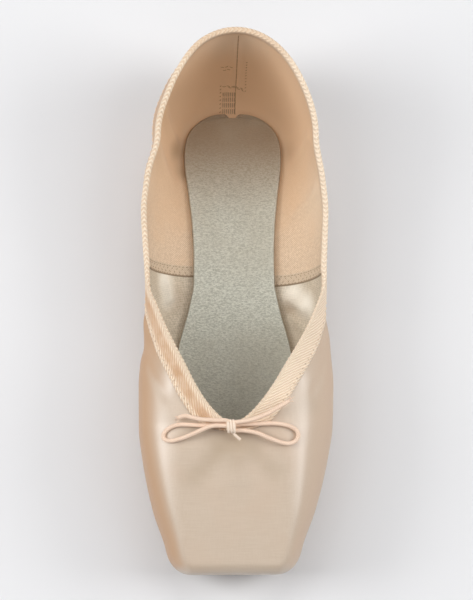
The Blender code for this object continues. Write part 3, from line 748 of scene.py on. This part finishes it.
def satin_finish():
    """Peach satin, pale on the box, with a deeper tan down the walls that is partly the satin's own peach and partly
    painted shade and reflection, most on the left.
    """
    satin = Finish("satin")
    streaks = satin.noise(satin.stretch(satin.object, (120.0, 2600.0, 2600.0)), 1.0, 4.0, 0.6)
    warp = satin.noise(satin.stretch(satin.object, (3200.0, 160.0, 900.0)), 1.0, 3.0, 0.6)
    weave = satin.math("MULTIPLY_ADD", streaks, 0.6, satin.math("MULTIPLY", warp, 0.4))
    pale = satin.mix(satin.spread(weave, 0.3, 0.7), (0.575, 0.452, 0.338), (0.625, 0.507, 0.392))
    pale = satin.effect(patches, place=satin.object, size=38.0, share=0.4, colour=pale, patch=(0.61, 0.46, 0.34))
    # Painted shade: darker spots under the bow and along its creases.
    for x, t, z, reach, share in SATIN_PAINTED_SHADE:
        mask = satin.around(satin.object, (x * MM, t * MM, z * MM), reach * MM)
        pale = satin.mix(satin.math("MULTIPLY", mask, share), pale, (0.45, 0.34, 0.23))
    # Painted shade and reflection: the walls' tan, set by the slant of the surface, full on the left and weaker on the
    # right; partly the satin's own deeper peach.
    sideways = satin.parts(satin.slope)[0]
    left_wall_peach_and_shade = satin.spread(sideways, -0.92, -0.42, 1.0, 0.0)
    right_wall_peach_and_shade = satin.spread(sideways, 0.40, 0.95, 0.0, 0.4)
    colour = satin.mix(satin.math("MAXIMUM", left_wall_peach_and_shade, right_wall_peach_and_shade), pale, (0.49, 0.285, 0.145))
    bump = satin.relief(weave, 0.25, 0.00008)
    rough = satin.spread(weave, 0.25, 0.75, 0.34, 0.46)
    return satin.give(base_color=colour, roughness=rough, normal=bump, specular_ior_level=0.8, ior=1.6)


def make_satin():
    stations = satin_stations()
    mesh = bmesh.new()
    for side in (1, -1):
        points = close_toe(shell(stations, 0.0, 10, SATIN_COLUMNS, side), np.linspace(0, 1, 12)[:-1])
        lay(mesh, points if side > 0 else points.transpose(1, 0, 2))
    join(mesh)
    press(mesh, SATIN_MARKS)
    mesh.normal_update()
    pleat(mesh)
    cloth = piece("upper_satin", mesh, satin_finish(), 60.0)
    thicken(cloth, SATIN)
    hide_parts("upper")
    return cloth


satin = make_satin()

# The linings. Pale muslin lines the box and the wings, stiff tan drill lines the quarters and the heel. The drill's
# front edge is turned under and sewn down over the muslin, and its two halves meet in a seam at the middle back.
LINING = 0.0005
LAP = 0.0003
LAP_BAND = 0.0052
LAP_PLACES = {1: (0.1280, 0.1280), -1: (0.1323, 0.1308)}
THREAD = 0.0003
BED_COLUMNS = 6
LINING_COLUMNS = 60
LINING_MARKS = [
    (1.8, 2.6, [(-32, 131, 15), (-31, 126, 13), (-29, 119, 11)]),
    (2.0, 3.0, [(23, 125, 7), (27, 121, 10), (32, 115, 16)]),
    (1.0, 2.2, [(24, 116, 7), (27, 111, 10), (29, 106, 13)]),
]
DRILL_MARKS = [
    (1.8, 4.2, [(-33, 188, 42), (-28, 181, 24), (-22, 172, 8)]),
    (1.6, 3.0, [(-28, 203, 34), (-24, 196, 17), (-21, 190, 7)]),
    (1.4, 3.0, [(33, 168, 34), (29, 163, 22), (25, 158, 10)]),
    (1.3, 2.6, [(30, 190, 38), (27, 188, 24), (22, 186, 9)]),
    (0.5, 1.5, [(3.0, 229, 48), (2.8, 226.5, 34), (2.7, 220.5, 20), (2.6, 212, 8)]),
    (0.4, 1.5, [(0.0, 229, 48), (-0.1, 226.5, 34), (-0.2, 220.5, 20), (-0.3, 212, 8)]),
]
STAYS = [(-5.2, -34, -62), (5.9, -4, -42)]
PUCKERS = [(-5.6, 0.4, -13, 0), (-4.6, -0.6, -17, 2), (-4.6, 6.3, -37, 5), (-2.0, 5.6, -38, 6)]
HEEL_HOLLOW = (195, 30)
# Colours of the linings' painted light: a painted highlight on the muslin's folds, painted shade in the hollows and by
# the sock's heel, and paler painted light on the drill's walls and middle back.
PAINTED_HIGHLIGHT, PAINTED_SHADE_BROWN, PAINTED_LIGHT_TAN = (1.00, 0.94, 0.82), (0.28, 0.17, 0.09), (0.84, 0.68, 0.51)
MUSLIN_PAINTED_LIGHT = [
    (-32, 129, 15, 9, 0.9, PAINTED_HIGHLIGHT), (-30, 122, 12, 8, 0.7, PAINTED_HIGHLIGHT), (27, 125, 10, 9, 0.8, PAINTED_HIGHLIGHT),
    (32, 119, 15, 9, 0.8, PAINTED_HIGHLIGHT),
    (25, 119, 7, 7, 0.5, PAINTED_SHADE_BROWN), (-25, 122, 8, 9, 0.3, PAINTED_SHADE_BROWN),
]
DRILL_PAINTED_LIGHT = [
    (-22.5, 190, 8, 9, 0.6, PAINTED_SHADE_BROWN), (-21, 181, 6, 7, 0.5, PAINTED_SHADE_BROWN), (-26, 205, 28, 20, 0.3, PAINTED_SHADE_BROWN),
    (22, 190, 8, 8, 0.35, PAINTED_SHADE_BROWN), (-32, 168, 36, 16, 0.5, PAINTED_LIGHT_TAN), (34, 160, 34, 26, 0.6, PAINTED_LIGHT_TAN),
    (0, 231, 44, 22, 0.6, PAINTED_LIGHT_TAN),
]


def cloth_finish(name, dark, light, patch, yarns, painted_spots, lap=0.0):
    """Unbleached cotton: woven yarns in slight relief, uneven in colour, with painted highlights on its folds, painted
    shade in its hollows and a painted shadow line along the drill's turned edge.
    """
    cloth = Finish(name)
    threads = [cloth.effect(ribs, place=cloth.uv, along=along, across=across, waver=0.7) for along, across in yarns]
    weave = cloth.math("MAXIMUM", threads[0], threads[-1])
    fluff = cloth.noise(cloth.object, 900.0, 4.0, 0.7)
    tone = cloth.math("MULTIPLY_ADD", fluff, 0.7, cloth.math("MULTIPLY", weave, 0.3))
    colour = cloth.mix(cloth.spread(tone, 0.38, 0.72), dark, light)
    colour = cloth.mix(cloth.spread(cloth.parts(cloth.object)[1], 0.015, 0.085), colour, patch)
    colour = cloth.effect(patches, place=cloth.object, size=60.0, share=0.4, colour=colour, patch=patch)
    # Painted light and shade: paler spots on folds, browner spots in hollows.
    for x, t, z, reach, share, tint in painted_spots:
        spot = cloth.around(cloth.object, (x * MM, t * MM, z * MM), reach * MM)
        colour = cloth.mix(cloth.math("MULTIPLY", spot, share), colour, tint)
    back = cloth.parts(cloth.uv)[0]
    colour = cloth.mix(cloth.spread(back, LAP_BAND - 0.0005, LAP_BAND, 0.5 * lap, 0.0), colour, (0.56, 0.46, 0.34))
    # Painted shadow: a dark line along the drill's turned front edge, where lap is given.
    colour = cloth.mix(cloth.spread(back, 0.0004, 0.0008, 0.75 * lap, 0.0), colour, (0.25, 0.17, 0.10))
    bump = cloth.relief(tone, 0.4, 0.00014)
    return cloth.give(base_color=colour, roughness=0.9, normal=bump, sheen_weight=0.15, sheen_roughness=0.5)


def measured(points):
    """The two ways over a sheet of points in metres, for its weave."""
    along = np.concatenate([[0.0], np.cumsum(np.linalg.norm(np.diff(points, axis=0), axis=2).mean(axis=1))])
    up = np.cumsum(np.linalg.norm(np.diff(points, axis=1, prepend=points[:, :1]), axis=2), axis=1)
    return np.stack([np.broadcast_to(along[:, None], up.shape), up], axis=2)


def muslin_rows(side):
    rows = []
    for along in np.linspace(0.0045, 0.138, 96):
        line = section(along, 0.0, float(wall(along)), BED_COLUMNS, LINING_COLUMNS)
        rows.append(in_shoe(along, 0.0, line, side))
    return np.array(rows)


def drill_rows(side):
    """The drill's rows start on the slanting front edge and end at the middle back."""
    places = np.linspace(0.120, HEEL_AXIS, 70)
    field = np.array([drill_line(along, 0.0, side) for along in places])
    low, high = LAP_PLACES[side]
    edge = np.linspace(low, high, field.shape[1])
    rows = []
    for share in np.linspace(0, 1, 60):
        along = edge + (HEEL_AXIS - edge) * share
        at = np.clip((along - places[0]) / (places[-1] - places[0]) * (len(places) - 1), 0, len(places) - 1.001)
        low_row = at.astype(int)
        part = (at - low_row)[:, None]
        column = np.arange(field.shape[1])
        rows.append(field[low_row, column] * (1 - part) + field[low_row + 1, column] * part)
    turns = math.pi / 2 * (1 - np.linspace(1, 0, 64) ** 1.5)
    return np.array(rows + [drill_line(HEEL_AXIS, turn, side) for turn in turns[1:]])


def drill_line(along, turn, side):
    line = section(along, turn, float(wall(along)) + LAP, BED_COLUMNS, LINING_COLUMNS)
    return in_shoe(along, turn, line[BED_COLUMNS - 2:], side)


def make_lining(name, rows, marks, material, closed_front):
    mesh = bmesh.new()
    for side in (1, -1):
        points = close_toe(rows(side), (0.0, 0.3, 0.65)) if closed_front else rows(side)
        uv = measured(points)
        lay(mesh, *((points.transpose(1, 0, 2), uv.transpose(1, 0, 2)) if side > 0 else (points, uv)))
    join(mesh)
    press(mesh, marks)
    tree = BVHTree.FromBMesh(mesh)
    thicken(piece(name, mesh, material, 60.0), LINING)
    return tree


def sew(mesh, tree, line, stitch, gap, thickness, lift=1.0):
    """Separate stitches along a line on a surface, each dipping into the cloth at its ends."""
    path = smooth_path(line, 0.0002)
    count = int(len(path) * 0.0002 / (stitch + gap))
    for k in range(count):
        first = int(k * (stitch + gap) / 0.0002)
        span = path[first:first + int(stitch / 0.0002) + 1]
        if len(span) < 3:
            continue
        thread = []
        for point, rise in zip(span[np.linspace(0, len(span) - 1, 5).astype(int)], (-0.6, 0.35, 0.5, 0.35, -0.6)):
            place, normal, _, _ = tree.find_nearest(Vector(point))
            thread.append(place + normal * (rise * thickness * lift))
        tube(mesh, thread, thickness / 2, 6)


def lap_line(side, back):
    """A line on the drill that runs down beside its turned front edge."""
    points = drill_rows(side)[0, 2:]
    return [point + np.array([0.0, back, 0.0]) for point in points[::6]]


def thread_finish(name, dark, light):
    thread = Finish(name)
    twist = thread.noise(thread.object, 2500.0)
    colour = thread.mix(twist, dark, light)
    return thread.give(base_color=colour, roughness=0.7)


def heel_line(tree, places):
    """Points on the lining's middle back, given as millimetres across and degrees up from the hollow of the heel."""
    eye, points = Vector((0.0, HEEL_HOLLOW[0] * MM - LENGTH / 2, HEEL_HOLLOW[1] * MM)), []
    for x, up in places:
        way = Vector((0.0, math.cos(math.radians(up)), math.sin(math.radians(up))))
        points.append(tree.ray_cast(eye + Vector((x * MM, 0, 0)), way)[0])
    return [point for point in points if point is not None]


def make_lining_stitches(tree):
    """The lap's pinprick stitches, the middle back seam with its stays, and the woven patch beside the seam."""
    pale, dark = bmesh.new(), bmesh.new()
    for side in (1, -1):
        for back in (0.0008, 0.0042):
            sew(pale, tree, lap_line(side, back), 0.0011, 0.0007, THREAD)
        upper, lower = lap_line(side, 0.0014), lap_line(side, 0.0036)
        zigzag = [pair[k % 2] for k, pair in enumerate(zip(smooth_path(upper, 0.0014), smooth_path(lower, 0.0014)))]
        for a, b in zip(zigzag, zigzag[1:]):
            sew(pale, tree, [a, (a + b) / 2, b], 0.0010, 0.0008, THREAD * 0.8)
    seam = heel_line(tree, [(1.5 - abs(up + 20) / 150, up) for up in range(31, -69, -6)])
    sew(dark, tree, seam, 0.0036, 0.0, THREAD, 0.5)
    for x, top, bottom in STAYS:
        for up in np.arange(bottom, top, 3.6):
            sew(dark, tree, heel_line(tree, [(x - 0.5, up), (x, up + 0.8), (x + 0.5, up)]), 0.0009, 0.0, THREAD)
    for left, right, up, droop in PUCKERS:
        line = [(x, up + 0.6 * math.sin(2 * x) - droop * max(x / 6, 0.0) ** 2) for x in np.linspace(left, right, 10)]
        sew(dark, tree, heel_line(tree, line), 0.0016, 0.0005, THREAD * 0.8, 0.6)
    for x in np.arange(-4.2, 0.9, 0.85):
        sew(pale, tree, heel_line(tree, [(x, up) for up in range(-43, -68, -4)]), 0.0026, 0.0001, THREAD)
    piece("lining_stitches", pale, thread_finish("lining_thread", (0.28, 0.19, 0.11), (0.50, 0.37, 0.25)))
    piece("seam_stitches", dark, thread_finish("seam_thread", (0.30, 0.19, 0.10), (0.46, 0.31, 0.19)))


muslin = cloth_finish(
    "muslin", (0.46, 0.38, 0.275), (0.72, 0.62, 0.49), (0.56, 0.455, 0.33), [(1300, 0), (0, 1300)], MUSLIN_PAINTED_LIGHT)
drill = cloth_finish(
    "drill", (0.60, 0.44, 0.30), (0.87, 0.69, 0.51), (0.74, 0.51, 0.32), [(1150, 1150)], DRILL_PAINTED_LIGHT, 1.0)
make_lining("lining_muslin", muslin_rows, LINING_MARKS, muslin, True)
drill_tree = make_lining("lining_drill", drill_rows, DRILL_MARKS, drill, False)
make_lining_stitches(drill_tree)

# The collar tape. Twill-woven cotton tape is folded over the topline all round, so that it shows some 8 mm outside
# and inside, and is sewn through near its hems. The drawstring runs in the fold and comes out under the knot.
TAPE_LEG = 0.0080
INNER_LEG = 0.0024
TAPE = 0.0004
TAPE_LIFT = 0.0005
TAPE_CREST = 0.0008
TAPE_STEP = 0.0003
TIP_LEG, TIP_REACH = 0.45, 0.013
FOLD_DEPTH = 0.0014
HEM = 0.0013
RIB = 0.00100
RIB_SLANT = math.radians(30.0)
STITCH, STITCH_GAP = 0.0019, 0.0008


def topline_ring():
    """The satin's edge round the opening, from the throat along the right side and back along the left."""
    stations = [pair for pair in satin_stations() if pair[0] >= THROAT]
    right, left = (shell(stations, 0.0, 3, SATIN_COLUMNS, side)[:, -1] for side in (1, -1))
    ring = np.vstack([right, left[::-1][1:]])
    length = lengths_along(ring)[-1]
    count = round(length / TAPE_STEP) + 1
    return evenly(ring, count), np.linspace(0, length, count)


def tape_rows(outer_tree, inner_tree):
    ring, along = topline_ring()
    heading = np.roll(ring[:-1], -4, axis=0) - np.roll(ring[:-1], 4, axis=0)
    heading = np.vstack([heading, heading[:1]])
    rows, uv = [], []
    for k, edge in enumerate(ring):
        edge = Vector(edge)
        ahead = Vector(heading[k]).normalized()
        from_tip = min(along[k], along[-1] - along[k])
        leg = TAPE_LEG * (TIP_LEG + (1 - TIP_LEG) * float(ease(from_tip / TIP_REACH)))
        _, normal, _, _ = outer_tree.find_nearest(edge)
        down = ahead.cross(normal).normalized()
        outside, inside = [], []
        place, way = edge, down
        for reach in np.linspace(0, leg, 10):
            place, out, _, _ = outer_tree.find_nearest(place + way * (leg / 9 if reach else 0.0))
            outside.append((place + out * TAPE_LIFT, reach))
            way = (way - out * way.dot(out)).normalized()
        inward = edge - normal * FOLD_DEPTH
        way = down
        for reach in np.linspace(0, INNER_LEG, 5):
            place, out, _, _ = inner_tree.find_nearest(inward + way * reach)
            inside.append((place + out * TAPE_LIFT, -reach))
        first, last = outside[0][0], inside[0][0]
        middle, across, up = (first + last) / 2, (first - last) / 2, -down
        crest = []
        for angle in np.linspace(0, math.pi, 9)[1:-1]:
            rise = up * (TAPE_CREST * math.sin(angle))
            crest.append((middle + across * math.cos(angle) + rise, TAPE_CREST * math.cos(angle)))
        line = outside[::-1] + crest + inside
        scallop = 0.00011 * math.sin(2 * math.pi * along[k] * math.sin(RIB_SLANT) / RIB)
        rows.append([point + up * (scallop if abs(reach) < TAPE_CREST else 0.0) for point, reach in line])
        uv.append([(along[k], reach + math.copysign(TAPE_CREST, reach) if abs(reach) >= TAPE_CREST else reach)
                   for _, reach in line])
    return np.array(rows), np.array(uv)


def tape_finish():
    """Cotton twill tape: slanting ribs that meet at the fold, pinholes along the seam, browner between the two, with
    painted shade there and at the heel, a painted highlight along the fold and painted light on the right side.
    """
    tape = Finish("twill_tape")
    along, across, _ = tape.parts(tape.uv)
    reach = tape.math("ABSOLUTE", across, 0.0)
    slanted = tape.add("ShaderNodeCombineXYZ", {0: along, 1: reach}).outputs[0]
    rib = tape.effect(
        ribs, place=slanted, along=math.sin(RIB_SLANT) / RIB, across=-math.cos(RIB_SLANT) / RIB, waver=0.5)
    beat = tape.math("FRACT", tape.math("DIVIDE", along, STITCH + STITCH_GAP), 0.0)
    hole = tape.math("MULTIPLY", tape.near(beat, 0.86, 0.16), tape.near(reach, TAPE_LEG - HEM + TAPE_CREST, 0.0004))
    tan = tape.effect(
        patches, place=tape.object, size=110.0, share=0.6, colour=(0.72, 0.50, 0.33), patch=(0.62, 0.41, 0.25))
    colour = tape.mix(rib, tan, (0.98, 0.83, 0.65))
    side, back, _ = tape.parts(tape.object)
    # Painted shade: browner in cloudy patches mid-leg, strongest on the left.
    shade = tape.math("MULTIPLY", tape.near(reach, 0.0048, 0.0028), tape.noise(tape.object, 160.0))
    shade = tape.math("MULTIPLY", shade, tape.spread(side, -0.005, 0.010, 1.5, 0.1))
    colour = tape.mix(shade, colour, (0.62, 0.38, 0.22))
    # Painted shade: the legs darker away from the fold, more towards the heel.
    under = tape.math("MULTIPLY", tape.spread(reach, 0.0009, 0.0018), tape.spread(back, 0.000, 0.030, 0.0, 0.7))
    colour = tape.mix(under, colour, (0.56, 0.36, 0.22))
    # Painted highlight along the fold's crest.
    colour = tape.mix(tape.spread(reach, 0.0005, 0.0018, 0.4, 0.0), colour, (0.92, 0.75, 0.56))
    # Painted light: the tape paler on the right side.
    colour = tape.mix(tape.spread(side, 0.004, 0.014, 0.0, 0.35), colour, (0.98, 0.82, 0.64))
    # Painted shade: the tape darker and tanner round the heel.
    colour = tape.mix(tape.spread(back, 0.098, 0.108, 0.0, 0.45), colour, (0.72, 0.49, 0.31))
    colour = tape.mix(tape.math("MULTIPLY", hole, 0.5), colour, (0.40, 0.25, 0.14))
    height = tape.math("MULTIPLY_ADD", tape.noise(tape.object, 2600.0, 2.0), 0.35, rib)
    height = tape.math("MULTIPLY_ADD", hole, -0.8, height)
    bump = tape.relief(height, 0.8, 0.00026)
    return tape.give(base_color=colour, roughness=0.78, normal=bump, sheen_weight=0.2, sheen_roughness=0.5)


def both_linings():
    """One search tree over the two linings' visible sides."""
    points, faces = [], []
    for name in ("lining_muslin", "lining_drill"):
        data = bpy.data.objects[name].data
        start = len(points)
        points += [vertex.co.copy() for vertex in data.vertices]
        faces += [[start + index for index in face.vertices] for face in data.polygons]
    return BVHTree.FromPolygons(points, faces)


def make_tape():
    data = satin.data
    outer = BVHTree.FromPolygons([v.co.copy() for v in data.vertices], [list(f.vertices) for f in data.polygons])
    rows, uv = tape_rows(outer, both_linings())
    mesh = bmesh.new()
    lay(mesh, rows, uv)
    bmesh.ops.remove_doubles(mesh, verts=mesh.verts, dist=4e-6)
    tree = BVHTree.FromBMesh(mesh)
    tape = piece("collar_tape", mesh, tape_finish(), 70.0)
    thicken(tape, TAPE)
    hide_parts("binding")
    seams = bmesh.new()
    sew(seams, tree, rows[::4, 1], STITCH, STITCH_GAP, 0.00034)
    stitches = piece("tape_stitches", seams, thread_finish("tape_thread", (0.82, 0.64, 0.47), (0.95, 0.81, 0.65)))


make_tape()

# The sock. A thin brushed suede insole lies on the shoe's stiff inner sole, from inside the box to the heel. It is
# glued down, and its edges lift a little where they meet the lining.
INSOLE_FRONT = 0.0240
INSOLE_THICKNESS = 0.0016
INSOLE_INSET = 0.0005
CAP_DEPTH = 0.0160
CAP_FULLNESS = 2.3


def cap(along, front):
    """Share of the width in a plate's rounded front end."""
    ahead = max(1 - (along - front) / CAP_DEPTH, 0.0)
    return (1 - ahead**CAP_FULLNESS) ** (1 / CAP_FULLNESS) if ahead < 1 else 0.0


def plate_rows(front, width, height, columns):
    """Rows across a flat piece, each with its distance from the piece's edge."""
    tip = [(front + CAP_DEPTH * (1 - math.cos(angle)), 0.0) for angle in np.linspace(0, math.pi / 2, 14)]
    sides = [(along, 0.0) for along in np.linspace(front + CAP_DEPTH, HEEL_AXIS, 110)[1:]]
    heel = [(HEEL_AXIS, turn) for turn in np.linspace(0, math.radians(80), 28)[1:]]
    rows, uv = [], []
    for along, turn in tip + sides + heel:
        out = width(along, turn) * cap(along, front)
        share = np.sin(np.linspace(-math.pi / 2, math.pi / 2, columns))
        x = share * out * math.cos(turn) + SWING * ease(1 - along / SWING_REACH)
        y = along + out * math.sin(turn) - LENGTH / 2
        rows.append(np.stack([x, np.full(columns, y), height(along, share)], axis=1))
        uv.append(np.stack([np.full(columns, y), (1 - np.abs(share)) * out], axis=1))
    return np.array(rows), np.array(uv)


def suede_finish():
    """Grey-green brushed suede: a short curly nap with fine darker pits, paler towards the toe as painted light, and
    browner towards the heel, partly its own colour and partly painted shade.
    """
    suede = Finish("suede")
    curls = suede.noise(suede.stretch(suede.object, (800.0, 1900.0, 1900.0)), 1.0, 3.0, 0.6)
    nap = suede.noise(suede.object, 2600.0, 2.0, 0.6)
    tone = suede.math("MULTIPLY_ADD", curls, 0.6, suede.math("MULTIPLY", nap, 0.4))
    colour = suede.mix(suede.spread(tone, 0.36, 0.62), (0.40, 0.40, 0.335), (0.70, 0.70, 0.61))
    # Painted light: paler towards the toe, where the vamp shades the sock.
    forward = suede.spread(suede.parts(suede.object)[1], -0.050, 0.000, 0.35, 0.0)
    colour = suede.mix(forward, colour, (0.80, 0.80, 0.71))
    # Browner towards the heel: partly the suede's own colour, partly painted shade from the heel's walls.
    heel_brown_and_shade = suede.spread(suede.parts(suede.object)[1], 0.040, 0.085, 0.0, 0.9)
    colour = suede.mix(heel_brown_and_shade, colour, (0.33, 0.235, 0.15))
    colour = suede.effect(patches, place=suede.object, size=30.0, share=0.3, colour=colour, patch=(0.47, 0.43, 0.34))
    bump = suede.relief(tone, 0.9, 0.00040)
    return suede.give(base_color=colour, roughness=0.95, normal=bump, sheen_weight=0.3, sheen_roughness=0.4)


def make_plate(name, rows, uv, thickness, material):
    """A flat piece of the shoe's bottom; its outside is where its rows turned towards its columns points."""
    mesh = bmesh.new()
    lay(mesh, rows, uv)
    join(mesh)
    plate = piece(name, mesh, material, 50.0)
    thicken(plate, thickness)
    return plate


def make_sock():
    def width(along, turn):
        return tread(along, turn) - INSOLE_INSET

    def height(along, share):
        top = underside(along) + wall(along) + GAP + INSOLE_THICKNESS
        return top + 0.0006 * np.abs(share) ** 8 - 0.0002 * (1 - share**2)

    rows, uv = plate_rows(INSOLE_FRONT, width, height, 41)
    sock = make_plate("sock", rows.transpose(1, 0, 2), uv.transpose(1, 0, 2), INSOLE_THICKNESS, suede_finish())
    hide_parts("insole")


make_sock()

# The outsole. A short leather sole, pointed in at the waist, is sewn to the upper through a channel near its edge.
# Its flesh side is buffed, and its edge is trimmed and rounded.
SOLE_EDGE = 0.0005
CHANNEL = 0.0030


def leather_finish():
    """Buffed sole leather: fine pores and faint scratches along the sole, darker in the channel."""
    leather = Finish("sole_leather")
    pores = leather.noise(leather.object, 900.0, 4.0, 0.6)
    streak = leather.noise(leather.stretch(leather.object, (900.0, 60.0, 900.0)), 1.0)
    groove = leather.near(leather.parts(leather.uv)[1], CHANNEL, 0.0005)
    colour = leather.effect(
        patches, place=leather.object, size=45.0, share=1.0, colour=(0.50, 0.36, 0.23), patch=(0.60, 0.46, 0.31))
    colour = leather.mix(leather.spread(streak, 0.45, 0.7, 0.0, 0.4), colour, (0.42, 0.29, 0.18))
    colour = leather.mix(leather.math("MULTIPLY", groove, 0.6), colour, (0.26, 0.16, 0.09))
    height = leather.math("MULTIPLY_ADD", groove, -2.0, leather.math("ADD", pores, streak))
    bump = leather.relief(height, 0.5, 0.00025)
    return leather.give(base_color=colour, roughness=0.72, normal=bump)


def make_sole():
    def width(along, turn):
        return tread(along, turn) * LAST["sole"](along)

    def height(along, share):
        return np.full(len(share), ground(along))

    sole = make_plate("sole", *plate_rows(SOLE_FRONT, width, height, 31), OUTSOLE_THICKNESS, leather_finish())
    trim = sole.modifiers.new("trim", "BEVEL")
    trim.width = SOLE_EDGE
    trim.segments = 3
    trim.limit_method = "ANGLE"
    trim.angle_limit = math.radians(50)
    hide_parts("outsole")


make_sole()
